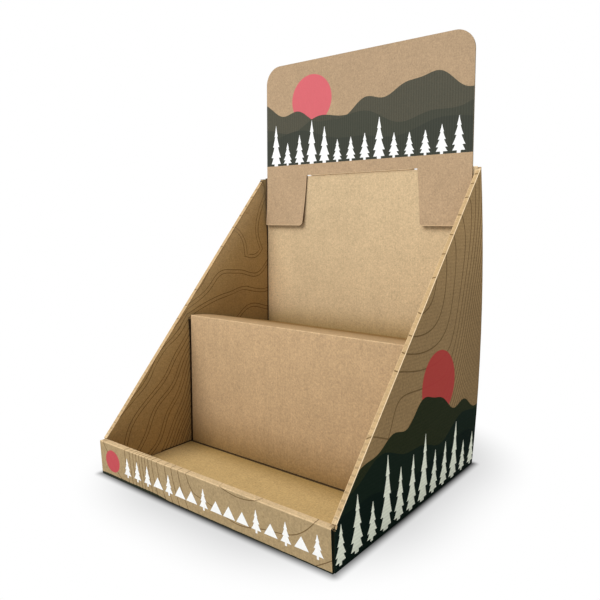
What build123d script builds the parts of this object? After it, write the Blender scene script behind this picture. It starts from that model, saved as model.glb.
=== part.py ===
from build123d import *
import os
from math import atan2, cos, hypot, pi, sin, tan

# Cardboard counter display: a folded tray, a step insert and a header card.
# Millimetres. X runs across the stand, Y from front to back and Z up.
# The origin is the middle of the base's underside.

# Board, creased so hard that the inside of each fold is a sharp corner
board = 1.6
fold_outside = 1.0
layer_gap = 0.3

# Tray
tray_width = 320.0
tray_depth = 283.5
front_height = 37.2
back_height = 346.0
hem_width = 5.3

# Side walls, upright at the front; towards the rear both spring outwards, the right one with a bulge
upright_length = 14.0
left_lean = 10.0
right_lean = 2.0
right_bulge = 6.0
inner_upright_share = 0.72

# Front lip; its outer panel leans out a little, and its inner panel and the corner flaps stand upright
lip_height = 39.5
lip_lean = 2.5
lip_end_gap = 1.4

# Fit of the panels between the side walls
back_panel_gap = 3.9
insert_gap = 2.7
header_gap = 1.3
panel_foot_gap = 1.0

# Flaps at the ends of the side walls
corner_flap_length = 50.0
corner_flap_taper = 8.0
corner_flap_drop = 1.0
rear_flap_length = 62.0
rear_flap_shoulder = 24.0
rear_flap_taper = 12.0
rear_flap_drop = 1.0

# Tabs that go through slots in the base
tab_length = 60.0
tab_taper = 4.0
tab_recess = 0.3
slot_gap = 0.4
side_tab_starts = (21.0, 190.0)
lip_tab_spacing = 160.0

# Step insert
riser_setback = 128.5
riser_foot_gap = 0.9
step_height = 166.0
shelf_drop = 26.5
shelf_crown_setback = 26.0
shelf_crown_drop = 1.4
shelf_crown_share = 0.7

# Header card
header_rise = 153.0
header_corner = 24.0
leg_length = 68.6
leg_flare = 3.2
leg_curve_share = 0.5
leg_corner = 5.0
leg_outer_corner = 2.5
slit_spacing = 160.0
slit_shift = 1.5
slit_width = 6.5
slit_splay = 6.0
tongue_length = 54.0
tongue_taper = 10.0
tongue_corner = 8.0

# Places that follow from the sizes above
half_width = tray_width / 2
wall_inside = half_width - hem_width
front = -tray_depth / 2
back = tray_depth / 2
slope = atan2(back_height - front_height, tray_depth)
back_panel_back = back - board - layer_gap
back_panel_front = back_panel_back - board
lip_angle = atan2(lip_lean, lip_height)
lip_fold_end = front + fold_outside * tan(pi / 4 + lip_angle / 2)
lip_stack = 3 * board + 2 * layer_gap
lip_back = front + lip_stack
corner_fold = front + board + layer_gap
panel_foot = board + panel_foot_gap
corner_flap_top = front_height - corner_flap_drop
rear_flap_top = back_height - rear_flap_drop
header_front = back_panel_front - layer_gap - board
hook_height = back_height + layer_gap
tongue_front = back_panel_back + layer_gap
slit_top = hook_height + fold_outside
header_top = back_height + header_rise
leg_bottom = slit_top - leg_length
leg_middle = slit_top - leg_length / 2
tongue_bottom = back_height - tongue_length
overlap = 10.0
far = tray_width


def fold_section(points, radii):
    """Section of board folded along a line on its printed face, by the outer radius of each bend."""
    printed = [Vector(*point) for point in points]
    runs = [(b - a).normalized() for a, b in zip(printed, printed[1:])]
    normals = [Vector(-run.Y, run.X) for run in runs]
    plain = [printed[0] + normals[0] * board]
    printed_radii = []
    plain_radii = []
    for corner, radius, before, after in zip(printed[1:], radii, normals, normals[1:]):
        plain.append(corner + (before + after) * (board / (1 + before.dot(after))))
        inner_radius = max(radius - board, 0)
        turns_left = before.cross(after).Z > 0
        printed_radii.append(radius if turns_left else inner_radius)
        plain_radii.append(inner_radius if turns_left else radius)
    plain.append(printed[-1] + normals[-1] * board)
    outline = FilletPolyline(
        *printed,
        *reversed(plain),
        radius=(0, *printed_radii, 0, 0, *reversed(plain_radii), 0),
        close=True,
    )
    return make_face(outline)


def soft_bend(before, corner, after, share):
    """Radius of a bend that takes a share of the shorter run on each side of a corner."""
    inward = Vector(*before) - Vector(*corner)
    outward = Vector(*after) - Vector(*corner)
    half_turn = (pi - inward.get_angle(outward) * pi / 180) / 2
    return share * min(inward.length, outward.length) / tan(half_turn)


def folded(points, radii, plane, width):
    """Folded board of one width, centred on a plane."""
    return extrude(plane * fold_section(points, radii), width / 2, both=True)


def prism(points, plane, start, end):
    """Straight prism on an outline, from one distance to another along the plane's normal."""
    outline = make_face(Polyline(*points, close=True))
    return extrude(plane.offset(start) * outline, end - start)


def on_both_sides(piece):
    """A piece of the right side with its mirror image on the left."""
    return piece + mirror(piece, about=Plane.YZ)


def beyond(half, points):
    """What lies outside a half width, on both sides, over an outline seen from the side."""
    return on_both_sides(prism(points, Plane.YZ, half, far))


def spine():
    """Lip, base and back panel, one strip of the blank folded up at both ends."""
    printed_face = [
        (lip_back, panel_foot),
        (lip_back, lip_height),
        (front - lip_lean, lip_height),
        (front, 0),
        (back_panel_back, 0),
        (back_panel_back, back_height),
    ]
    lip_half = half_width - lip_end_gap
    strip = folded(printed_face, 4 * [fold_outside], Plane.YZ, 2 * lip_half)
    past = back + overlap
    above = back_height + overlap
    hem_ends = [
        (front + fold_outside, fold_outside),
        (front - lip_lean + fold_outside, lip_height + overlap),
        (front + overlap, lip_height + overlap),
        (front + overlap, fold_outside),
    ]
    base_ends = [
        (lip_fold_end, -overlap),
        (past, -overlap),
        (past, fold_outside),
        (lip_fold_end, fold_outside),
    ]
    back_ends = [
        (back_panel_back - fold_outside, -overlap),
        (past, -overlap),
        (past, above),
        (back_panel_back - fold_outside, above),
    ]
    strip -= beyond(half_width - board - layer_gap, hem_ends)
    strip -= beyond(half_width - fold_outside, base_ends)
    strip -= beyond(wall_inside - back_panel_gap, back_ends)
    return strip


def lip_tabs():
    """Tabs below the lip's inner panel."""
    outline = [
        (-tab_length / 2, panel_foot),
        (-tab_length / 2 + tab_taper, tab_recess),
        (tab_length / 2 - tab_taper, tab_recess),
        (tab_length / 2, panel_foot),
    ]
    tab = prism(outline, Plane.XZ, -lip_back, board - lip_back)
    return on_both_sides(Pos(lip_tab_spacing / 2, 0, 0) * tab)


def lip_slots():
    """Slots in the base for the lip's tabs."""
    slot = Box(tab_length + 2 * slot_gap, board + 2 * slot_gap, 2 * fold_outside)
    return on_both_sides(Pos(lip_tab_spacing / 2, lip_back - board / 2, 0) * slot)


def hem_end():
    """Square-cut lower end of the slanted hem, where it lies on the lip's hem."""
    height = lip_height + layer_gap
    along = (height - front_height + board / cos(slope)) / tan(slope)
    low = (front + along, height)
    reach = board + overlap
    high = (low[0] - reach * sin(slope), low[1] + reach * cos(slope))
    return high, low


def under_hem_at(depth):
    """Height of the underside of the slanted hem."""
    return front_height + (depth - front) * tan(slope) - board / cos(slope)


def bulging_line(place, top, lean, bulge):
    """Upright line on the outer panel, which leans out and bulges outwards in the middle."""
    foot = (place, fold_outside)
    head = (place + lean, top)
    if bulge == 0:
        return [Line(foot, head)]
    middle = (place + lean / 2 + bulge, (fold_outside + top) / 2)
    return [ThreePointArc(foot, middle, head)]


def curling_line(place, top, lean):
    """Upright line on the inner panel, which stands straight and curls outwards below the hem."""
    foot = (place, panel_foot)
    bend = (place, top * inner_upright_share)
    head = (place + lean, top)
    curl = Line(bend, head) if lean == 0 else TangentArc(bend, head, tangent=(0, 1))
    return [Line(foot, bend), curl]


def board_between(outer_face, inner_face):
    """Section of a panel between the lines of its two faces."""
    top_end = Line(outer_face[-1] @ 1, inner_face[-1] @ 1)
    foot_end = Line(inner_face[0] @ 0, outer_face[0] @ 0)
    return make_face([*outer_face, top_end, *inner_face, foot_end])


def outer_section(under_hem, lean, bulge):
    """Outer panel, cut across."""
    return board_between(
        bulging_line(half_width, under_hem, lean, bulge),
        bulging_line(half_width - board, under_hem, lean, bulge),
    )


def inner_section(under_hem, lean, bulge):
    """Inner panel, cut across; it takes no part in the outer panel's bulge."""
    return board_between(
        curling_line(wall_inside + board, under_hem, lean),
        curling_line(wall_inside, under_hem, lean),
    )


def hem_section(under_hem, lean, bulge):
    """Hem cut across, with the folds on both sides of it."""
    thickness = board / cos(slope)
    middle = (half_width + wall_inside) / 2 + lean
    bar = Pos(middle, under_hem + thickness / 2) * Rectangle(hem_width, thickness)
    return fillet(bar.vertices().group_by(Axis.Y)[-1], fold_outside)


def along_wall(section, lean, bulge):
    """Board along a side wall: upright at the front, then leaning and bulging more and more."""
    stations = [
        (front, 0, 0),
        (front + upright_length, 0, 0),
        (back - board, lean, bulge),
    ]
    sections = []
    for depth, lean_here, bulge_here in stations:
        across = Plane.XZ.offset(-depth)
        sections.append(across * section(under_hem_at(depth), lean_here, bulge_here))
    return loft(sections, ruled=True)


def side_wall(lean, bulge):
    """Right wall: outer panel, slanted hem and inner panel, folded over the slanted edge."""
    high, low = hem_end()
    past = back + overlap
    above = back_height + overlap
    hem_outline = [
        low,
        high,
        (high[0], above),
        (back_panel_back, above),
        (back_panel_back, 0),
    ]
    outer_outline = [
        low,
        high,
        (high[0], above),
        (past, above),
        (past, 0),
        (corner_fold + fold_outside, 0),
        (corner_fold + fold_outside, corner_flap_top),
    ]
    inner_outline = hem_outline + [
        (lip_back + layer_gap, 0),
        (lip_back + layer_gap, low[1]),
    ]
    wall = along_wall(hem_section, lean, bulge) & prism(hem_outline, Plane.YZ, 0, far)
    wall += along_wall(outer_section, lean, bulge) & prism(outer_outline, Plane.YZ, 0, far)
    wall += along_wall(inner_section, lean, bulge) & prism(inner_outline, Plane.YZ, 0, far)
    return wall + [side_tab(start) for start in side_tab_starts]


def side_tab(start):
    """Tab below the inner panel, at a distance from the front."""
    outline = [
        (front + start, panel_foot),
        (front + start + tab_taper, tab_recess),
        (front + start + tab_length - tab_taper, tab_recess),
        (front + start + tab_length, panel_foot),
    ]
    return prism(outline, Plane.YZ, wall_inside, wall_inside + board)


def side_slots():
    """Slots in the base for the side walls' tabs."""
    slot = Box(board + 2 * slot_gap, tab_length + 2 * slot_gap, 2 * fold_outside)
    first = Pos(wall_inside + board / 2, front + tab_length / 2, 0) * slot
    return on_both_sides(Part() + [Pos(0, start, 0) * first for start in side_tab_starts])


def bottom_fold():
    """Fold between the base and the right wall's outer panel."""
    printed_face = [
        (half_width - overlap, 0),
        (half_width, 0),
        (half_width, overlap),
    ]
    fold_start = corner_fold + fold_outside
    fold_end = back_panel_back - fold_outside
    across = Plane.XZ.offset(-(fold_start + fold_end) / 2)
    return folded(printed_face, [fold_outside], across, fold_end - fold_start)


def corner_flap():
    """Flap that turns from the right wall's front edge into the lip."""
    flap_end = half_width - corner_flap_length
    printed_face = [
        (flap_end, 0),
        (half_width, 0),
        (half_width, overlap),
    ]
    foot = Pos(0, corner_fold, fold_outside)
    section = foot * fold_section(printed_face, [fold_outside])
    flap = extrude(section, corner_flap_top - fold_outside)
    trim = [
        (flap_end - overlap, fold_outside + corner_flap_taper),
        (flap_end, fold_outside + corner_flap_taper),
        (flap_end + corner_flap_taper, fold_outside),
        (flap_end + corner_flap_taper, 0),
        (flap_end - overlap, 0),
    ]
    return flap - prism(trim, Plane.XZ, -far, far)


def rear_flap(lean, bulge):
    """Flap that turns from the right wall's rear edge and is glued behind the back panel."""
    flap_end = half_width - rear_flap_length
    wall_top = under_hem_at(back - board)
    outline = [
        *bulging_line(half_width, wall_top, lean, bulge),
        Polyline(
            (half_width + lean, wall_top),
            (half_width + lean, rear_flap_top),
            (half_width - rear_flap_shoulder, rear_flap_top),
            (flap_end, rear_flap_top - rear_flap_taper),
            (flap_end, fold_outside + rear_flap_taper),
            (half_width - fold_outside, fold_outside),
            (half_width, fold_outside),
        ),
    ]
    flap = extrude(Plane.XZ.offset(-back) * make_face(outline), board)
    upright = flap.edges().group_by(Axis.Y)[-1].filter_by(lambda edge: abs((edge % 0.5).Z) > 0.9)
    return fillet(upright.sort_by(Axis.X)[-2:], fold_outside)


def tray_side(lean, bulge):
    """Right side of the tray: its wall with the flaps at both ends."""
    return side_wall(lean, bulge) + corner_flap() + rear_flap(lean, bulge)


def tray_body():
    """The tray, one folded blank."""
    base = spine() + on_both_sides(bottom_fold()) - lip_slots() - side_slots()
    right_side = tray_side(right_lean, right_bulge)
    left_side = mirror(tray_side(left_lean, 0), about=Plane.YZ)
    return base + lip_tabs() + right_side + left_side


def step_insert():
    """Riser, crowned shelf and rear leg, one strip that stands between the walls."""
    riser_foot = board + riser_foot_gap
    riser_front = front + riser_setback
    leg_foot = board + layer_gap
    leg_back = back_panel_front - layer_gap
    shelf_back = (leg_back, step_height - shelf_drop)
    crown = (riser_front + shelf_crown_setback, step_height - shelf_crown_drop)
    shelf_front = (riser_front, step_height)
    printed_face = [
        (leg_back, leg_foot),
        shelf_back,
        crown,
        shelf_front,
        (riser_front, riser_foot),
    ]
    crown_radius = soft_bend(shelf_back, crown, shelf_front, shelf_crown_share)
    radii = (fold_outside, crown_radius, fold_outside)
    width = 2 * (wall_inside - insert_gap)
    return folded(printed_face, radii, Plane.YZ, width)


def header_card():
    """Header card: flat top, two legs in front of the back panel and a hooked tongue."""
    top = (header_front, header_top + overlap)
    bend = (header_front, leg_middle)
    toe = (header_front - leg_flare, leg_bottom)
    bend_radius = soft_bend(top, bend, toe, leg_curve_share)
    half = wall_inside - header_gap
    leg_top = slit_spacing / 2 + slit_width / 2
    leg_foot = leg_top + slit_splay
    outline = FilletPolyline(
        (half, leg_bottom),
        (half, header_top),
        (-half, header_top),
        (-half, leg_bottom),
        (slit_shift - leg_foot, leg_bottom),
        (slit_shift - leg_top, slit_top),
        (slit_shift + leg_top, slit_top),
        (slit_shift + leg_foot, leg_bottom),
        radius=(
            leg_outer_corner,
            header_corner,
            header_corner,
            leg_outer_corner,
            leg_corner,
            0,
            0,
            leg_corner,
        ),
        close=True,
    )
    blank = extrude(Plane.XZ * make_face(outline), far, both=True)
    card = folded([top, bend, toe], [bend_radius], Plane.YZ, tray_width) & blank

    hook = [
        (header_front, slit_top + overlap),
        (header_front, hook_height),
        (tongue_front, hook_height),
        (tongue_front, tongue_bottom),
    ]
    tongue_top = slit_spacing / 2 - slit_width / 2
    tongue_foot = tongue_top - tongue_taper
    tongue_outline = FilletPolyline(
        (tongue_foot, tongue_bottom),
        (tongue_top, hook_height),
        (tongue_top, slit_top + overlap),
        (-tongue_top, slit_top + overlap),
        (-tongue_top, hook_height),
        (-tongue_foot, tongue_bottom),
        radius=(tongue_corner, 0, 0, 0, 0, tongue_corner),
        close=True,
    )
    tongue_blank = extrude(Plane.XZ * make_face(tongue_outline), far, both=True)
    tongue = folded(hook, 2 * [fold_outside], Plane.YZ, slit_spacing) & tongue_blank
    return card + Pos(slit_shift, 0, 0) * tongue


os.makedirs("parts", exist_ok=True)
export_step(tray_body(), "parts/tray_body.step")
export_step(step_insert(), "parts/step_insert.step")
export_step(header_card(), "parts/header_card.step")
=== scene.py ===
import math
from collections import namedtuple

import bpy
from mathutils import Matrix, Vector

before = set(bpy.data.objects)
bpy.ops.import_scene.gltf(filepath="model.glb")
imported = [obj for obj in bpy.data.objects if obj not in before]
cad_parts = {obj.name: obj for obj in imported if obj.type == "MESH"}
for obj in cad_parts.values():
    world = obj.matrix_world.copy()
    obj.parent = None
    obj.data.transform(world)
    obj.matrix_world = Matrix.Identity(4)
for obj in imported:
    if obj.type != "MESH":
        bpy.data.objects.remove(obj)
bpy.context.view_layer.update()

# Lengths in materials are in millimetres, in the part's own frame: x to the right, y to the back, z up.
MM_PER_METRE = 1000

# The stand, as its source states it
HALF_WIDTH = 160
HALF_DEPTH = 141.75
BOARD = 1.6
LAYER_GAP = 0.3
FOLD_OUTSIDE = 1.0
HEM_WIDTH = 5.3
BACK_HEIGHT = 346
FRONT_HEIGHT = 37.2
LIP_HEIGHT = 39.5
RISER_FRONT = -13.25
STEP_HEIGHT = 166
SHELF_DROP = 26.5
LEG_LENGTH = 68.6
TONGUE_HALF_WIDTH = 80

# Places that follow from the sizes above
WALL_INSIDE = HALF_WIDTH - HEM_WIDTH
HEM_RISE = (BACK_HEIGHT - FRONT_HEIGHT) / (2 * HALF_DEPTH)
BACK_PANEL_BACK = HALF_DEPTH - BOARD - LAYER_GAP
BACK_PANEL_FRONT = BACK_PANEL_BACK - BOARD
BACK_PANEL_HALF_WIDTH = WALL_INSIDE - LAYER_GAP
STEP_BACK_HEIGHT = STEP_HEIGHT - SHELF_DROP
HEADER_FRONT = BACK_PANEL_FRONT - LAYER_GAP - BOARD
TONGUE_FRONT = BACK_PANEL_BACK + LAYER_GAP
LEG_BOTTOM = BACK_HEIGHT + LAYER_GAP + FOLD_OUTSIDE - LEG_LENGTH

# The ways that the slanted hem and the leaning lip face, by y and z
HEM_FACING = (-0.738, 0.675)
LIP_FACING = (0.996, 0.088)

# Zones round features, a little larger than they are
HOOK_ZONE = (BACK_HEIGHT - 1, BACK_HEIGHT + 4)
SLIT_ZONE_HALF_WIDTH = 110
FLOOR_ZONE_TOP = 3
LIP_ZONE_BACK = 8 - HALF_DEPTH
HEM_ZONE = 3

# How near a face a point counts as on it, how far the surface has to turn some way to face it, and how far
# from flat it has to turn to count as a fold, from hardly to wholly
NEAR = 1
FACING = 0.5
SLANTING = 0.3
FOLD_TURN = (0.995, 0.93)

# Flutes: how far apart they are, and how deep they show through the paper
HEADER_FLUTE = 3.3
TRAY_FLUTE = 3.5
INSERT_FLUTE = 3.5
FLUTE_DEPTH = 0.035
HEM_TICK = 5.4

# How strongly each kind of unevenness lightens or darkens the paper
CLOUD_SHOW = 0.17
GRAIN_SHOW = 0.42
FIBRE_SHOW = 0.2
DARK_FLECK_SHOW = 0.14
PALE_FLECK_SHOW = 0.08
FLUTE_SHOW = 0.012
SIDE_FLUTE_SHOW = 0.03
HEADER_FLUTES_IN_INK = 0.10
SIDE_FLUTES_IN_INK = 0.05
STREAK_SHOW = 0.16

# The paper's surface
FIBRE_RELIEF = 0.05
HEADER_ROUGHNESS = 0.78
PAPER_ROUGHNESS = 0.8
GRAIN_ROUGHNESS = 0.3
INK_GLOSS = 0.12
PAPER_SHEEN = 0.12
TRAY_SHEEN = 0.04

# Paper and ink colours, linear. The krafts of the faces and pieces hold the two papers' real difference, and
# each is also set lighter or darker as painted light and shade.
OUTSIDE_KRAFT = (0.385, 0.255, 0.118)
LIP_KRAFT = (0.375, 0.275, 0.148)
WALL_KRAFT = (0.43, 0.288, 0.123)
BACK_KRAFT = (0.565, 0.425, 0.255)
FLOOR_KRAFT = (0.485, 0.340, 0.150)
INSERT_KRAFT = (0.505, 0.345, 0.193)
HEADER_KRAFT = (0.425, 0.298, 0.180)
CREASE_KRAFT = (0.72, 0.53, 0.31)
RIM_KRAFT = (0.92, 0.72, 0.46)
CUT_KRAFT = (0.50, 0.36, 0.20)
TUNNEL_SHADE = (0.05, 0.03, 0.015)
# Painted shade deep in corners
CORNER_SHADE_COLOUR = (0.47, 0.40, 0.22)
LINE_BROWN = (0.14, 0.085, 0.035)
BLEED_GREEN = (0.006, 0.016, 0.011)
LIP_CORAL = (0.50, 0.068, 0.088)
WHITE_INK = (0.88, 0.89, 0.88)
SIDE_WHITE = (0.90, 0.94, 0.78)

# How well the inks cover, how much that changes from fibre to fibre, and how much paper grain the greens show
CORAL_COVER = 0.94
HEADER_WHITE_COVER = 0.98
WHITE_COVER = 0.97
COVER_CHANGE = 0.14
GREEN_GRAIN = 0.2

# How fully the wear of folds and rims, the legs' pale lower rim, the painted shade in gaps and the bled print
# cover the paper
FOLD_WEAR = 0.8
INSERT_FOLD_WEAR = 0.55
LEG_RIM_PALENESS = 0.5
RIM_WEAR = 0.85
PAINTED_GAP_DARKNESS = 0.95
BLEED_COVER = 0.95

# Painted shade: how bright paper is painted in the narrow gap behind the back panel, and at the insert's cut
# edges
GAP_SHADE = 0.36
INSERT_CUT_SHADE = 0.45

# Printed landscapes. A hill's line is its base height, then the height, length and shift of each swell.
Landscape = namedtuple("Landscape", "hills greens sun_centre sun_radius coral hill_cover")
HEADER_LANDSCAPE = Landscape(
    hills=(
        (436, (17, 46, -0.45), (5, 15, 1.2), (3, 8.5, 0.4)),
        (416, (9, 33, 2.4), (4, 13, 0.3)),
        (397, (8, 41, 4.1), (3, 16, 1.0)),
    ),
    # The header's greens are the sides' inks set lighter, as painted sheen
    greens=((0.064, 0.064, 0.046), (0.052, 0.055, 0.040), (0.042, 0.046, 0.035)),
    sun_centre=(-74, 447),
    sun_radius=33,
    coral=(0.60, 0.112, 0.138),
    hill_cover=0.97,
)
SIDE_LANDSCAPE = Landscape(
    hills=(
        (92, (15, 36, 1.1), (5, 14, 0.2), (3, 8, 1.5)),
        (66, (9, 30, 3.6), (4, 13, 0.9)),
        (42, (6, 35, 5.2), (3, 15, 0.5)),
    ),
    greens=((0.014, 0.022, 0.008), (0.005, 0.014, 0.008), (0.002, 0.009, 0.006)),
    sun_centre=(38, 118),
    sun_radius=36,
    coral=(0.45, 0.050, 0.047),
    hill_cover=0.98,
)
HEADER_PRINT_BOTTOM = 362
FIR_TIERS = 3.6
FIR_SHARE = 0.95

# Height lines follow an imagined ground. On the walls' outside, by y and z, rings round a spot above the hem
# run out into steep ground, which rises faster and faster to the rear.
RING_CENTRE = (-10, 250)
RING_STEEPNESS = 0.46
RING_LIMIT = 112
RING_ROUNDING = 50
LIMIT_RISE_FROM = -60
LIMIT_RISE = 0.8
DENSE_FROM = 55
DENSE_LEAN = 0.35
DENSE_LEAN_FROM = 140
DENSE_STEEPNESS = 0.135
WALL_WAVE_LENGTH = 120
WALL_WAVE_HEIGHT = 34

# On the walls' inside, by y and z, the lines fan out each way from a waist by the riser's top
FAN_WAIST = (-13, STEP_HEIGHT)
FAN_SLOPES = (1.05, 0.25)
FAN_HALF_SPREAD = 45
FAN_OPENING = 0.45
ABOVE_WAIST_HEIGHT = 76
BELOW_WAIST_HEIGHT = 50
INNER_WAVE_LENGTH = 75
INNER_WAVE_HEIGHT = 60

# On the lip, by x and z, flattened rings on the right and two slopes on the left
LIP_RING_CENTRE = (55, 50)
LIP_RING_SQUASH = 0.45
LIP_RING_STEEPNESS = 0.62
FAR_SLOPE = (-122, -54)
FAR_SLOPE_HEIGHT = 115
NEAR_SLOPE = (-64, -2)
NEAR_SLOPE_HEIGHT = 50
LIP_WAVE_LENGTH = 70
LIP_WAVE_HEIGHT = 14

# Height lines' spacing, width, the gap between the two of a pair, and how well their ink covers
WALL_LINE_SPACING = 9.5
WALL_LINE_WIDTH = 1.4
PAIR_SPACING = 21
PAIR_GAP = 4.6
LIP_LINE_SPACING = 14
LINE_WIDTH = 0.95
LINE_COVER = 0.9

# Light: how bright the surroundings are to the stand, and to the camera
AMBIENT = 0.38
WHITE = 1

# The ground under the stand, as the light meets it
FLOOR_GREY = 0.7
FLOOR_ROUGHNESS = 0.9

# Camera: the photograph's viewpoint, in metres
CAMERA_PLACE = (0.4214, -0.5173, 0.2838)
CAMERA_AIM = (-0.6125, 0.7852, -0.0914)
CAMERA_LENS = 35.84
CAMERA_SENSOR = 36.0
CAMERA_SHIFT = (-0.0049, -0.0392)


class Field:
    """One number for each point of a surface. Sums of fields are written as plain formulas.

    A mask is a field from 0 to 1. For masks, & is both, | is either and ~ is not. For other fields, & is the
    lesser of the two and | the greater.
    """

    def __init__(self, socket):
        self.socket = socket
        self.tree = socket.id_data

    def worked_out(self, operation, *terms):
        node = self.tree.nodes.new("ShaderNodeMath")
        node.operation = operation
        for place, term in zip(node.inputs, terms):
            if isinstance(term, Field):
                self.tree.links.new(term.socket, place)
            else:
                place.default_value = term
        return Field(node.outputs[0])

    def __add__(self, other):
        return self.worked_out("ADD", self, other)

    def __radd__(self, other):
        return self.worked_out("ADD", self, other)

    def __sub__(self, other):
        return self.worked_out("SUBTRACT", self, other)

    def __rsub__(self, other):
        return self.worked_out("SUBTRACT", other, self)

    def __mul__(self, other):
        return self.worked_out("MULTIPLY", self, other)

    def __rmul__(self, other):
        return self.worked_out("MULTIPLY", self, other)

    def __truediv__(self, other):
        return self.worked_out("DIVIDE", self, other)

    def __abs__(self):
        return self.worked_out("ABSOLUTE", self)

    def __lt__(self, other):
        return self.worked_out("LESS_THAN", self, other)

    def __gt__(self, other):
        return self.worked_out("GREATER_THAN", self, other)

    def __and__(self, other):
        return self.worked_out("MINIMUM", self, other)

    def __or__(self, other):
        return self.worked_out("MAXIMUM", self, other)

    def __invert__(self):
        return self.worked_out("SUBTRACT", 1, self)

    def sine(self):
        return self.worked_out("SINE", self)

    def whole(self):
        return self.worked_out("FLOOR", self)

    def part(self):
        return self.worked_out("FRACT", self)

    def root(self):
        return self.worked_out("SQRT", self)

    def soft_least(self, other, reach):
        """The lesser of the two, rounded over where they are within that reach of each other."""
        return self.worked_out("SMOOTH_MIN", self, other, reach)

    def eased(self, start, end):
        """0 up to the start, 1 from the end on, and a soft step between. The end may lie below the start."""
        node = self.tree.nodes.new("ShaderNodeMapRange")
        node.interpolation_type = "SMOOTHSTEP"
        self.tree.links.new(self.socket, node.inputs["Value"])
        node.inputs["From Min"].default_value = min(start, end)
        node.inputs["From Max"].default_value = max(start, end)
        step = Field(node.outputs["Result"])
        return step if end > start else ~step


def between(field, low, high):
    return (field > low) & (field < high)


def length_of(across, up):
    return (across * across + up * up).root()


def disc(across, up, centre, radius):
    return length_of(across - centre[0], up - centre[1]) < radius


def beyond(across, half_width, along, half_depth):
    """Distance from a rectangle, 0 inside it."""
    return length_of((abs(across) - half_width) | 0, (abs(along) - half_depth) | 0)


class Paint:
    """One material, with the place of each point and the way that the surface faces there."""

    def __init__(self, name):
        self.material = bpy.data.materials.new(name)
        self.material.use_nodes = True
        self.tree = self.material.node_tree
        coordinates = self.node("ShaderNodeTexCoord")
        self.place = self.vector("SCALE", coordinates.outputs["Object"], scale=MM_PER_METRE)
        self.x, self.y, self.z = self.parts(self.place)
        self.facing_x, self.facing_y, self.facing_z = self.parts(coordinates.outputs["Normal"])

    def node(self, kind):
        return self.tree.nodes.new(kind)

    def feed(self, place, value):
        if isinstance(value, Field):
            value = value.socket
        if isinstance(value, bpy.types.NodeSocket):
            self.tree.links.new(value, place)
        elif isinstance(value, tuple) and place.type == "RGBA":
            place.default_value = (*value, 1)
        else:
            place.default_value = value

    def vector(self, operation, first, second=None, scale=None):
        node = self.node("ShaderNodeVectorMath")
        node.operation = operation
        self.feed(node.inputs[0], first)
        if second is not None:
            self.feed(node.inputs[1], second)
        if scale is not None:
            self.feed(node.inputs["Scale"], scale)
        return node.outputs[0]

    def parts(self, vector):
        node = self.node("ShaderNodeSeparateXYZ")
        self.feed(node.inputs[0], vector)
        return tuple(Field(output) for output in node.outputs)

    def joined(self, x, y, z):
        node = self.node("ShaderNodeCombineXYZ")
        for place, value in zip(node.inputs, (x, y, z)):
            self.feed(place, value)
        return node.outputs[0]

    def noise(self, size, detail, stretch=None, place=None):
        """Smooth noise from 0 to 1 in blotches of about that size, each way longer by its stretch."""
        vector = self.place if place is None else place
        if stretch is not None:
            vector = self.vector("DIVIDE", vector, stretch)
        node = self.node("ShaderNodeTexNoise")
        self.feed(node.inputs["Vector"], vector)
        node.inputs["Scale"].default_value = 1 / size
        node.inputs["Detail"].default_value = detail
        return Field(node.outputs["Fac"])

    def chance(self, cell, seed):
        """A random number from 0 to 1 for each whole number in cell."""
        node = self.node("ShaderNodeTexWhiteNoise")
        node.noise_dimensions = "2D"
        self.feed(node.inputs["Vector"], self.joined(cell, seed, 0))
        return Field(node.outputs["Value"])

    def flecks(self, size, share):
        """Small specks strewn about, one in this share of the cells of that size."""
        node = self.node("ShaderNodeTexVoronoi")
        self.feed(node.inputs["Vector"], self.place)
        node.inputs["Scale"].default_value = 1 / size
        chosen = self.parts(node.outputs["Color"])[0] < share
        return chosen & Field(node.outputs["Distance"]).eased(0.28, 0.12)

    def mix(self, first, second, share):
        node = self.node("ShaderNodeMix")
        node.data_type = "RGBA"
        first_colour, second_colour = [socket for socket in node.inputs if socket.type == "RGBA"]
        self.feed(node.inputs["Factor"], share)
        self.feed(first_colour, first)
        self.feed(second_colour, second)
        return next(socket for socket in node.outputs if socket.type == "RGBA")

    def shaded(self, colour, share):
        return self.vector("SCALE", colour, scale=share)

    def finish(self, colour, roughness, height, sheen=PAPER_SHEEN):
        shader = self.tree.nodes["Principled BSDF"]
        bump = self.node("ShaderNodeBump")
        bump.inputs["Distance"].default_value = 1 / MM_PER_METRE
        self.feed(bump.inputs["Height"], height)
        self.feed(shader.inputs["Base Color"], colour)
        self.feed(shader.inputs["Roughness"], roughness)
        shader.inputs["Specular IOR Level"].default_value = sheen
        self.tree.links.new(bump.outputs["Normal"], shader.inputs["Normal"])
        return self.material


# Paper

def paper_grain(paint):
    """How much lighter or darker the paper is from spot to spot: clouding, grain, long fibres and flecks."""
    cloud = paint.noise(24, 3) + paint.noise(4.5, 2) - 1
    grain = paint.noise(1.3, 2) + paint.noise(2.1, 1) - 1
    fibres = paint.noise(0.7, 1, (1, 6, 2)) + paint.noise(0.7, 1, (6, 1, 5)) - 1
    uneven = 1 + cloud * CLOUD_SHOW + grain * GRAIN_SHOW + fibres * FIBRE_SHOW
    return uneven - paint.flecks(4.3, 0.10) * DARK_FLECK_SHOW + paint.flecks(3.7, 0.14) * PALE_FLECK_SHOW


def paper_relief(paint, flutes, sag_length, sag):
    """Height of the surface: flutes, fibres, and the slow sag of a sheet that isn't quite flat."""
    return flutes + paint.noise(1.1, 3) * FIBRE_RELIEF + paint.noise(sag_length, 1) * sag


def paper_roughness(grain, base):
    return base + (grain - 1) * GRAIN_ROUGHNESS


def flute_wave(along, pitch):
    return (along * (2 * math.pi / pitch)).sine()


def fold_mask(*flat):
    """1 on the round of a fold, where the surface faces none of the flat directions."""
    nearest = None
    for direction in flat:
        turn = abs(direction)
        nearest = turn if nearest is None else nearest | turn
    return nearest.eased(*FOLD_TURN)


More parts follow.
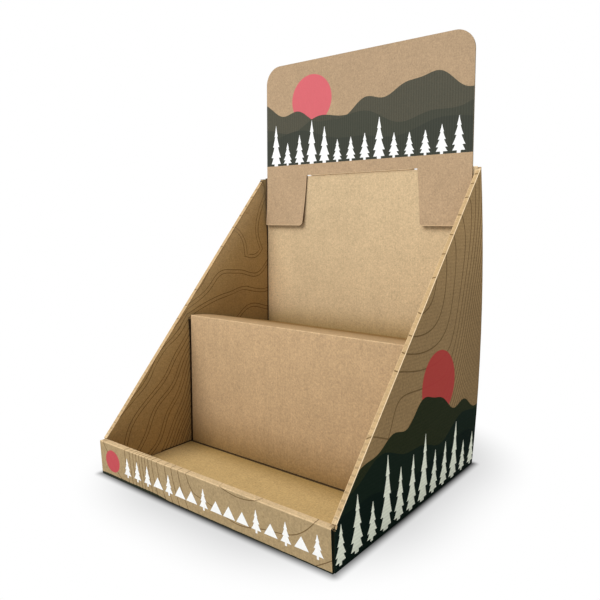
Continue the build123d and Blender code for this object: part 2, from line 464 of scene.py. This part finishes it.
def corner_shaded(paint, colour, share):
    """Painted shade deep in a corner: the paper is darkened and turned browner there."""
    return paint.mix(colour, paint.vector("MULTIPLY", colour, CORNER_SHADE_COLOUR), share)


def cut_section(depth, along, pitch):
    """The board cut across: two papers with the waved one between. depth is 0 and 1 at its faces."""
    middle = 0.5
    wave_height = 0.30
    liner_inside = 0.36
    fluting_half = 0.11
    wave = middle + wave_height * flute_wave(along, pitch)
    liners = abs(depth - middle) > liner_inside
    fluting = abs(depth - wave) < fluting_half
    return liners | fluting


# Printed shapes

def ink(paint, kraft, colour, mask, cover):
    """Flexo ink: it covers a little less where the paper's fibres take it badly."""
    hold = cover + (paint.noise(0.9, 2) - 0.5) * COVER_CHANGE
    return paint.mix(kraft, colour, mask & (mask * hold))


def rolling(along, base, *swells):
    """A line of hills: base height, then (height, length, shift) of each swell."""
    line = base
    for rise, length, shift in swells:
        line = line + rise * (along / length + shift).sine()
    return line


def hills_and_sun(paint, colour, grain, fluted, area, along, landscape):
    """A coral sun behind three lines of dark green hills."""
    hills = [rolling(along, *hill) for hill in landscape.hills]
    sky = paint.z > (hills[0] | hills[1] | hills[2])
    sun = area & sky & disc(along, paint.z, landscape.sun_centre, landscape.sun_radius)
    colour = ink(paint, colour, landscape.coral, sun, CORAL_COVER)
    for line, green in zip(hills, landscape.greens):
        tone = paint.shaded(green, fluted * (1 - GREEN_GRAIN + GREEN_GRAIN * grain))
        colour = ink(paint, colour, tone, area & (paint.z < line), landscape.hill_cover)
    return colour


def fir(across, up, height, half_width, tiers):
    """A fir tree standing on up = 0 at across = 0."""
    notch = 0.45
    tip_half_width = 0.25
    trunk_half_width = 0.06 * height
    trunk_span = (-3, 1)
    rise = up / height
    skirt = ((1 - rise) * tiers).part()
    edge = half_width * (1 - rise) * (1 - notch + notch * skirt) + tip_half_width
    crown = (abs(across) < edge) & (up > 0) & (up < height)
    trunk = (abs(across) < trunk_half_width) & between(up, *trunk_span)
    return crown | trunk


def fir_row(paint, along, up, cell, heights, seed):
    """Firs side by side, one to most of the cells, each of its own height and width."""
    number = (along / cell).whole()
    luck = paint.chance(number, seed)
    lowest, highest = heights
    height = lowest + (highest - lowest) * luck * luck
    half_width = cell * (0.36 + 0.12 * luck)
    across = along - (number + 0.5) * cell
    present = paint.chance(number, seed + 2) < FIR_SHARE
    return present & fir(across, up, height, half_width, FIR_TIERS)


def motif_row(paint, along, up, cell, height, seed):
    """Firs and lower peaks in a row, one to a cell."""
    fir_share = 0.62
    peak_height = height * 0.62
    peak_half_width = cell * 0.46
    number = (along / cell).whole()
    across = along - (number + 0.5) * cell
    choice = paint.chance(number, seed)
    tree = fir(across, up, height, half_width=height * 0.3, tiers=3)
    peak = (abs(across) < (1 - up / peak_height) * peak_half_width) & (up > 0)
    return ((choice < fir_share) & tree) | ((choice > fir_share) & peak)


# Height lines

def wall_ground(paint, place):
    """Height of the ground drawn on the walls' outside and their hems."""
    _, y, z = paint.parts(place)
    rings = length_of(y - RING_CENTRE[0], z - RING_CENTRE[1])
    ring_limit = RING_LIMIT + ((y - LIMIT_RISE_FROM) | 0) * LIMIT_RISE
    to_rear = (y - DENSE_FROM - (z - DENSE_LEAN_FROM) * DENSE_LEAN) | 0
    rise = to_rear * to_rear.root() * DENSE_STEEPNESS
    waves = paint.noise(WALL_WAVE_LENGTH, 0, place=place) * WALL_WAVE_HEIGHT
    return rings.soft_least(ring_limit, RING_ROUNDING) * RING_STEEPNESS + (rise + waves)


def inner_ground(paint, place):
    """Height of the ground drawn on the walls' inside."""
    _, y, z = paint.parts(place)
    along = y - FAN_WAIST[0]
    middle = FAN_WAIST[1] + (along & 0) * FAN_SLOPES[0] + (along | 0) * FAN_SLOPES[1]
    spread = FAN_HALF_SPREAD + abs(along) * FAN_OPENING
    off = z - middle
    fan = ((off & FAN_HALF_SPREAD) | 0) * ABOVE_WAIST_HEIGHT + (off & 0) * BELOW_WAIST_HEIGHT
    return fan / spread + paint.noise(INNER_WAVE_LENGTH, 0, place=place) * INNER_WAVE_HEIGHT


def lip_ground(paint, place):
    """Height of the ground drawn on the lip: long rings on the right and a steep slope on the left."""
    x, _, z = paint.parts(place)
    rings = length_of((x - LIP_RING_CENTRE[0]) * LIP_RING_SQUASH, z - LIP_RING_CENTRE[1])
    slope = x.eased(*FAR_SLOPE) * FAR_SLOPE_HEIGHT + x.eased(*NEAR_SLOPE) * NEAR_SLOPE_HEIGHT
    waves = paint.noise(LIP_WAVE_LENGTH, 0, place=place) * LIP_WAVE_HEIGHT
    return rings * LIP_RING_STEEPNESS - slope + waves


def height_lines(paint, ground, spacing, width, pair_gap=0):
    """Thin lines of equal height, all of that width; with a pair gap each is two lines that far apart."""
    level = ground(paint, paint.place)
    steps = ((1, 0, 0), (0, 1, 0), (0, 0, 1))
    rises = [ground(paint, paint.vector("ADD", paint.place, step)) - level for step in steps]
    off_face = rises[0] * paint.facing_x + rises[1] * paint.facing_y + rises[2] * paint.facing_z
    squares = rises[0] * rises[0] + rises[1] * rises[1] + rises[2] * rises[2] - off_face * off_face
    steepness = (squares | 0).root()
    from_level = abs((level / spacing).part() - 0.5) * spacing / (steepness + 0.01)
    steep_enough = steepness.eased(0.10, 0.22)
    return steep_enough & abs(from_level - pair_gap / 2).eased(width * 0.6, width * 0.35)


# The header card

def header_print(paint, colour, grain, wave, printed):
    """The header's print: the landscape, with white firs along its foot."""
    fluted = 1 + wave * HEADER_FLUTES_IN_INK
    colour = hills_and_sun(paint, colour, grain, fluted, printed, paint.x, HEADER_LANDSCAPE)
    fir_foot = HEADER_PRINT_BOTTOM + 3
    row_half_length = 147
    row = fir_row(paint, paint.x, paint.z - fir_foot, cell=21, heights=(26, 56), seed=11)
    firs = row & (abs(paint.x) < row_half_length)
    return ink(paint, colour, WHITE_INK, printed & firs, HEADER_WHITE_COVER)


def header_edges(paint, colour, grain, front):
    """The card's cut edges, with painted shade in the flutes' hollows and in the slits; the legs' pale lower
    rim; and the hook, worn on its fold and painted light underneath.
    """
    in_hook = between(paint.z, *HOOK_ZONE) & (abs(paint.x) < TONGUE_HALF_WIDTH)
    cut = (abs(paint.facing_y) < SLANTING) & ~(in_hook & (abs(paint.facing_x) < SLANTING))
    behind = paint.y > TONGUE_FRONT - 0.2
    depth = (paint.y - HEADER_FRONT - behind * (TONGUE_FRONT - HEADER_FRONT)) / BOARD
    solid = cut_section(depth, paint.x, HEADER_FLUTE)
    # Painted shade in the hollows between the flutes
    edge = paint.mix(TUNNEL_SHADE, paint.shaded(CUT_KRAFT, grain), solid)
    colour = paint.mix(colour, edge, cut)

    slit_zone = (abs(paint.x) < SLIT_ZONE_HALF_WIDTH) & (paint.z < HOOK_ZONE[0])
    # Painted shade on the slits' cut edges, darker lower down
    slit_edge = cut & (abs(paint.facing_x) > SLANTING) & slit_zone
    colour = paint.mix(colour, TUNNEL_SHADE, slit_edge * (0.55 + paint.z.eased(340, 300) * 0.4))
    leg_rim = front & (paint.z < LEG_BOTTOM + 0.8)
    colour = paint.mix(colour, CREASE_KRAFT, leg_rim * LEG_RIM_PALENESS)
    # The hook's fold is worn pale; its underside is painted light
    hook_wear_and_painted_light = (paint.facing_z < -SLANTING) | fold_mask(paint.facing_x, paint.facing_y)
    return paint.mix(colour, RIM_KRAFT, in_hook & hook_wear_and_painted_light)


def header_board():
    paint = Paint("header_board_paper")
    grain = paper_grain(paint)
    wave = flute_wave(paint.x, HEADER_FLUTE)
    height_shade = paint.z.eased(310, 480) * 0.11
    colour = paint.shaded(HEADER_KRAFT, grain * (1.04 + wave * FLUTE_SHOW - height_shade))
    front = (paint.facing_y < -FACING) & (paint.y < HEADER_FRONT + 0.5)
    printed = front & (paint.z > HEADER_PRINT_BOTTOM)
    colour = header_print(paint, colour, grain, wave, printed)
    colour = header_edges(paint, colour, grain, front)
    relief = paper_relief(paint, wave * FLUTE_DEPTH, sag_length=60, sag=0.8)
    return paint.finish(colour, paper_roughness(grain, HEADER_ROUGHNESS) - printed * INK_GLOSS, relief)


# The step insert

def insert_board():
    paint = Paint("insert_board_paper")
    grain = paper_grain(paint)
    wave = flute_wave(paint.x, INSERT_FLUTE)
    streaks = paint.noise(8, 2, (1, 1, 4)) + paint.noise(2.2, 1) - 1
    colour = paint.shaded(INSERT_KRAFT, grain * (1 + wave * FLUTE_SHOW + streaks * STREAK_SHOW))

    riser_top = between(paint.y, RISER_FRONT - 1, RISER_FRONT + 4) & (paint.z > 100)
    fold = riser_top & fold_mask(paint.facing_x, paint.facing_y, paint.facing_z)
    wear = fold & paint.noise(6, 3).eased(0.3, 0.6)
    colour = paint.mix(colour, paint.shaded(CREASE_KRAFT, grain), wear * INSERT_FOLD_WEAR)
    # Painted shade at the riser's foot and on the shelf towards the back panel
    riser_foot = (paint.facing_y < -FACING) & paint.z.eased(58, -12)
    shelf_back = (paint.facing_z > FACING) & paint.y.eased(-50, 80)
    colour = corner_shaded(paint, colour, riser_foot | shelf_back)
    # Painted shade on the cut edges, in the gaps by the walls
    cut = abs(paint.facing_x) > 0.7
    colour = paint.mix(colour, paint.shaded(CUT_KRAFT, grain * INSERT_CUT_SHADE), cut)
    relief = paper_relief(paint, wave * FLUTE_DEPTH, sag_length=70, sag=1.0)
    return paint.finish(colour, paper_roughness(grain, PAPER_ROUGHNESS), relief)


# The tray

class TrayFaces:
    """Where a point lies on the tray. A mask that is named after a face is 1 on that face."""

    def __init__(self, paint):
        self.aside = abs(paint.x)
        self.outwards = paint.facing_x * ((paint.x > 0) * 2 - 1)
        self.above_hem = paint.z - (FRONT_HEIGHT + (paint.y + HALF_DEPTH) * HEM_RISE)
        self.forwards = paint.facing_y < -FACING
        upwards = paint.facing_z > FACING

        self.outer_side = (self.outwards > 0.2) & (self.aside > HALF_WIDTH - 1.5)
        self.inner_side = (self.outwards < -FACING) & (self.aside > WALL_INSIDE - NEAR)
        on_hem_line = abs(self.above_hem) < 2.5
        self.hem = (self.aside > WALL_INSIDE - 0.1) & (paint.facing_z > SLANTING) & on_hem_line
        self.base = upwards & (paint.z < FLOOR_ZONE_TOP)
        self.floor = self.base & (self.aside < WALL_INSIDE)
        self.back = self.forwards & between(paint.y, BACK_PANEL_FRONT - NEAR, BACK_PANEL_FRONT + NEAR)
        self.lip = (paint.y < LIP_ZONE_BACK) & (self.aside < HALF_WIDTH - NEAR)
        self.lip_front = self.lip & (paint.facing_y < -0.6) & (paint.z > 1.5)
        self.lip_top = self.lip & upwards & (paint.z > LIP_HEIGHT - HEM_ZONE)


def tray_paper(paint, faces, grain, wave):
    """Bare board in each face's kraft: its own paper, set lighter or darker as painted light and shade. The
    folded rims are paler, and the flutes show on the hems.
    """
    paper_and_light_krafts = (
        (WALL_KRAFT, faces.inner_side),
        (BACK_KRAFT, faces.back),
        (FLOOR_KRAFT, faces.floor),
        (LIP_KRAFT, faces.lip),
    )
    # Each face's kraft carries its paper and painted light and shade
    kraft = OUTSIDE_KRAFT
    for paper_and_light_kraft, face in paper_and_light_krafts:
        kraft = paint.mix(kraft, paper_and_light_kraft, face)
    folded = faces.hem | faces.lip_top
    kraft = paint.mix(kraft, CREASE_KRAFT, folded * 0.3 + faces.lip_top * 0.25)
    tick_crest = 0.7
    ticks = faces.hem & (flute_wave(paint.z, HEM_TICK) > tick_crest)
    tick_depth = 0.03 + paint.z.eased(170, 30) * 0.27
    flute_show = faces.outer_side * SIDE_FLUTE_SHOW + FLUTE_SHOW
    return paint.shaded(kraft, grain * (1 + wave * flute_show - ticks * tick_depth))


def tray_light(paint, faces, colour):
    """Shade low on the outer walls and in the corners by the step, and a glow on the back panel."""
    low_shade = faces.outer_side * paint.z.eased(290, 170) * 0.22
    colour = paint.shaded(colour, 1 - low_shade)
    low_glow = paint.z.eased(320, 190) * 0.06
    right_glow = paint.x.eased(-40, 90) * 0.06
    left_glow = paint.x.eased(-90, -154) * (0.08 + paint.z.eased(280, 165) * 0.44)
    colour = paint.shaded(colour, 1 + faces.back * (low_glow + right_glow + left_glow))
    by_riser = faces.floor & paint.y.eased(RISER_FRONT - 38, RISER_FRONT + 16)
    above_step = faces.back & paint.z.eased(STEP_BACK_HEIGHT + 38, STEP_BACK_HEIGHT - 15)
    return corner_shaded(paint, colour, by_riser | above_step)


def tray_lines(paint, faces, colour, grain):
    """Brown height lines on the walls, their hems and the lip."""
    walls = height_lines(paint, wall_ground, WALL_LINE_SPACING, WALL_LINE_WIDTH)
    within = height_lines(paint, inner_ground, PAIR_SPACING, LINE_WIDTH, PAIR_GAP)
    lip = height_lines(paint, lip_ground, LIP_LINE_SPACING, LINE_WIDTH)
    outside = walls & (faces.outer_side | faces.hem)
    lines = (outside | (within & faces.inner_side) | (lip & faces.lip)) & ~(faces.floor | faces.back)
    return paint.mix(colour, paint.shaded(LINE_BROWN, grain), lines * LINE_COVER)


def side_print(paint, faces, colour, grain, wave):
    """The walls' outer print: the landscape, with white firs at the foot."""
    fluted = 1 + wave * SIDE_FLUTES_IN_INK
    colour = hills_and_sun(paint, colour, grain, fluted, faces.outer_side, paint.y, SIDE_LANDSCAPE)
    fir_foot = 7
    firs = fir_row(paint, paint.y, paint.z - fir_foot, cell=24, heights=(32, 72), seed=31)
    return ink(paint, colour, paint.shaded(SIDE_WHITE, fluted), faces.outer_side & firs, WHITE_COVER)


def lip_print(paint, faces, colour):
    """The lip's print: a coral disc, then firs and peaks in a row."""
    dot = disc(paint.x, paint.z, centre=(-137, 20), radius=12.5)
    colour = ink(paint, colour, LIP_CORAL, faces.lip_front & dot, CORAL_COVER)
    row_foot = 11
    row_span = (-119, 153)
    row = motif_row(paint, paint.x, paint.z - row_foot, cell=17, height=19, seed=53)
    shown = faces.lip_front & row & between(paint.x, *row_span)
    return ink(paint, colour, WHITE_INK, shown, WHITE_COVER)


def tray_folds(paint, faces, colour, grain):
    """Paper worn pale along the top folds, palest on the walls' outer ones and the back panel's cut top."""
    across_hem = paint.facing_y * HEM_FACING[0] + paint.facing_z * HEM_FACING[1]
    across_lip = paint.facing_y * LIP_FACING[0] + paint.facing_z * LIP_FACING[1]
    fold = fold_mask(paint.facing_x, paint.facing_y, paint.facing_z, across_hem, across_lip)
    by_hem = abs(faces.above_hem) < HEM_ZONE
    top_fold = fold & ((paint.z > LIP_HEIGHT - HEM_ZONE) | by_hem)
    wear = top_fold & paint.noise(5, 3).eased(0.25, 0.6)
    colour = paint.mix(colour, paint.shaded(CREASE_KRAFT, grain), wear * FOLD_WEAR)
    on_panel = between(paint.y, BACK_PANEL_FRONT - NEAR, BACK_PANEL_BACK + 0.2)
    panel_top = on_panel & (paint.z > BACK_HEIGHT - NEAR)
    rim = (fold & (faces.outwards > 0.15) & by_hem) | panel_top
    return paint.mix(colour, RIM_KRAFT, rim * paint.noise(9, 3).eased(0.2, 0.5) * RIM_WEAR)


def tray_painted_gap_shade(paint, faces, colour):
    """Painted shade in the gaps where boards meet: at the walls' foot, by the riser, and round the back
    panel's ends.
    """
    wall_foot = faces.base & (faces.aside > WALL_INSIDE - 1.1)
    under_riser = faces.floor & between(paint.y, RISER_FRONT - 2.3, RISER_FRONT + 4)
    by_riser = between(paint.y, RISER_FRONT - 0.5, RISER_FRONT + 3.5) & (paint.z < STEP_HEIGHT - 6)
    by_riser_end = faces.inner_side & by_riser

    # The left wall leans so far out that the gap behind it shows up to the top
    open_gap = (paint.x < 0) | paint.z.eased(BACK_HEIGHT - 14, BACK_HEIGHT - 34)
    behind_panel = (paint.facing_z < SLANTING) & (paint.y > BACK_PANEL_BACK + 0.1)
    # Painted shade: the flap seen behind the back panel is darkened to the wall's shaded tone
    flap_front = faces.forwards & behind_panel & open_gap
    colour = paint.mix(colour, paint.shaded(WALL_KRAFT, GAP_SHADE), flap_front)
    beside_panel = flap_front & (faces.aside < HALF_WIDTH)
    by_panel_end = faces.inner_side & (paint.y > BACK_PANEL_FRONT - 1.7) & paint.z.eased(305, 275)
    panel_end = faces.back & (faces.aside > BACK_PANEL_HALF_WIDTH - 0.4) & open_gap
    # All painted shade, near black, deep in the gaps
    painted_gap_shade = wall_foot | under_riser | by_riser_end | beside_panel | by_panel_end | panel_end
    return paint.mix(colour, TUNNEL_SHADE, painted_gap_shade * PAINTED_GAP_DARKNESS)


def tray_bleed(paint, faces, colour):
    """Dark print that shows along the lip's foot, most on its left, and on the front corner flaps."""
    reach = 1.4 + paint.x.eased(-40, -66) * 1.8 + paint.noise(14, 2) * 0.9
    lip_foot = (paint.y < 3 - HALF_DEPTH) & (paint.facing_z < FACING) & (paint.z < reach)
    flap_zone = between(paint.y, BOARD - HALF_DEPTH, LIP_ZONE_BACK) & (faces.aside > HALF_WIDTH - 6)
    corner = flap_zone & (paint.facing_y < -0.2) & (paint.z < FRONT_HEIGHT)
    return paint.mix(colour, BLEED_GREEN, (lip_foot | corner) * BLEED_COVER)


def tray_board():
    paint = Paint("tray_board_paper")
    faces = TrayFaces(paint)
    grain = paper_grain(paint)
    sideways = abs(paint.facing_x) > FACING
    wave = flute_wave(paint.z, TRAY_FLUTE) * sideways + flute_wave(paint.x, TRAY_FLUTE) * ~sideways
    colour = tray_paper(paint, faces, grain, wave)
    colour = tray_light(paint, faces, colour)
    colour = tray_lines(paint, faces, colour, grain)
    colour = side_print(paint, faces, colour, grain, wave)
    colour = lip_print(paint, faces, colour)
    colour = tray_folds(paint, faces, colour, grain)
    colour = tray_painted_gap_shade(paint, faces, colour)
    colour = tray_bleed(paint, faces, colour)
    flute_depth = (1 - faces.inner_side * 0.8 - faces.outer_side * 0.4) * FLUTE_DEPTH
    relief = paper_relief(paint, wave * flute_depth, sag_length=70, sag=1.0)
    return paint.finish(colour, paper_roughness(grain, PAPER_ROUGHNESS), relief, TRAY_SHEEN)


# The stage

def floor_glow(paint):
    """How white the ground looks: white, less a painted dark contact shadow by the stand and a wide soft
    painted shadow round it.
    """
    contact_shadow_darkness = 0.70
    shadow_darkness = 0.43
    rounding = 120
    tail = 40
    half_depth = HALF_DEPTH + tail - rounding
    # Painted contact shadow close round the stand's foot
    rim = beyond(paint.x, HALF_WIDTH, paint.y, HALF_DEPTH).eased(10, -2.5)
    spread = beyond(paint.x, HALF_WIDTH - rounding, paint.y - tail, half_depth) - rounding
    return WHITE - rim * contact_shadow_darkness - spread.eased(80, -40) * shadow_darkness


def add_floor():
    """White ground. It is plain grey to the light, and the camera sees its painted shadow."""
    reach = 4.0
    mesh = bpy.data.meshes.new("floor")
    corners = [(-reach, -reach, 0), (reach, -reach, 0), (reach, reach, 0), (-reach, reach, 0)]
    mesh.from_pydata(corners, [], [(0, 1, 2, 3)])
    floor = bpy.data.objects.new("floor", mesh)
    bpy.context.scene.collection.objects.link(floor)

    paint = Paint("floor_white")
    glow = paint.node("ShaderNodeEmission")
    paint.feed(glow.inputs["Strength"], floor_glow(paint))
    shader = paint.tree.nodes["Principled BSDF"]
    shader.inputs["Base Color"].default_value = (FLOOR_GREY, FLOOR_GREY, FLOOR_GREY, 1)
    shader.inputs["Roughness"].default_value = FLOOR_ROUGHNESS
    shader.inputs["Specular IOR Level"].default_value = 0.0
    seen = paint.node("ShaderNodeLightPath")
    blend = paint.node("ShaderNodeMixShader")
    paint.feed(blend.inputs[0], seen.outputs["Is Camera Ray"])
    paint.feed(blend.inputs[1], shader.outputs[0])
    paint.feed(blend.inputs[2], glow.outputs[0])
    paint.feed(paint.tree.nodes["Material Output"].inputs["Surface"], blend.outputs[0])
    mesh.materials.append(paint.material)


def add_world():
    """Soft light from all sides, which the camera sees as white."""
    world = bpy.data.worlds.new("studio")
    bpy.context.scene.world = world
    world.use_nodes = True
    tree = world.node_tree
    background = tree.nodes["Background"]
    background.inputs["Color"].default_value = (WHITE, WHITE, WHITE, 1)
    seen = tree.nodes.new("ShaderNodeLightPath")
    strength = Field(seen.outputs["Is Camera Ray"]) * (WHITE - AMBIENT) + AMBIENT
    tree.links.new(strength.socket, background.inputs["Strength"])


def add_lamp(name, place, aim, size, power):
    """A square lamp at a place, aimed at a point; metres and watts."""
    data = bpy.data.lights.new(name, "AREA")
    data.shape = "SQUARE"
    data.size = size
    data.energy = power
    lamp = bpy.data.objects.new(name, data)
    lamp.location = place
    lamp.rotation_euler = (Vector(aim) - Vector(place)).to_track_quat("-Z", "Y").to_euler()
    bpy.context.scene.collection.objects.link(lamp)


def add_camera():
    data = bpy.data.cameras.new("camera")
    data.lens = CAMERA_LENS
    data.sensor_width = CAMERA_SENSOR
    data.shift_x, data.shift_y = CAMERA_SHIFT
    camera = bpy.data.objects.new("camera", data)
    camera.location = CAMERA_PLACE
    camera.rotation_euler = Vector(CAMERA_AIM).to_track_quat("-Z", "Y").to_euler()
    bpy.context.scene.collection.objects.link(camera)
    bpy.context.scene.camera = camera


def dress(node, material):
    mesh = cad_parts[node].data
    mesh.materials.clear()
    mesh.materials.append(material)


dress("tray_body", tray_board())
dress("step_insert", insert_board())
dress("header_card", header_board())
add_floor()
add_world()
add_lamp("key", place=(-0.9, -2.3, 3.0), aim=(0, 0, 0.15), size=2.4, power=150)
add_lamp("fill", place=(0.9, 0.6, 0.9), aim=(0.16, 0.1, 0.3), size=0.6, power=2.2)
add_lamp("rear", place=(-0.75, 2.5, 1.5), aim=(0, 0.14, 0.2), size=1.2, power=45)
add_camera()
bpy.context.scene.view_settings.view_transform = "Standard"
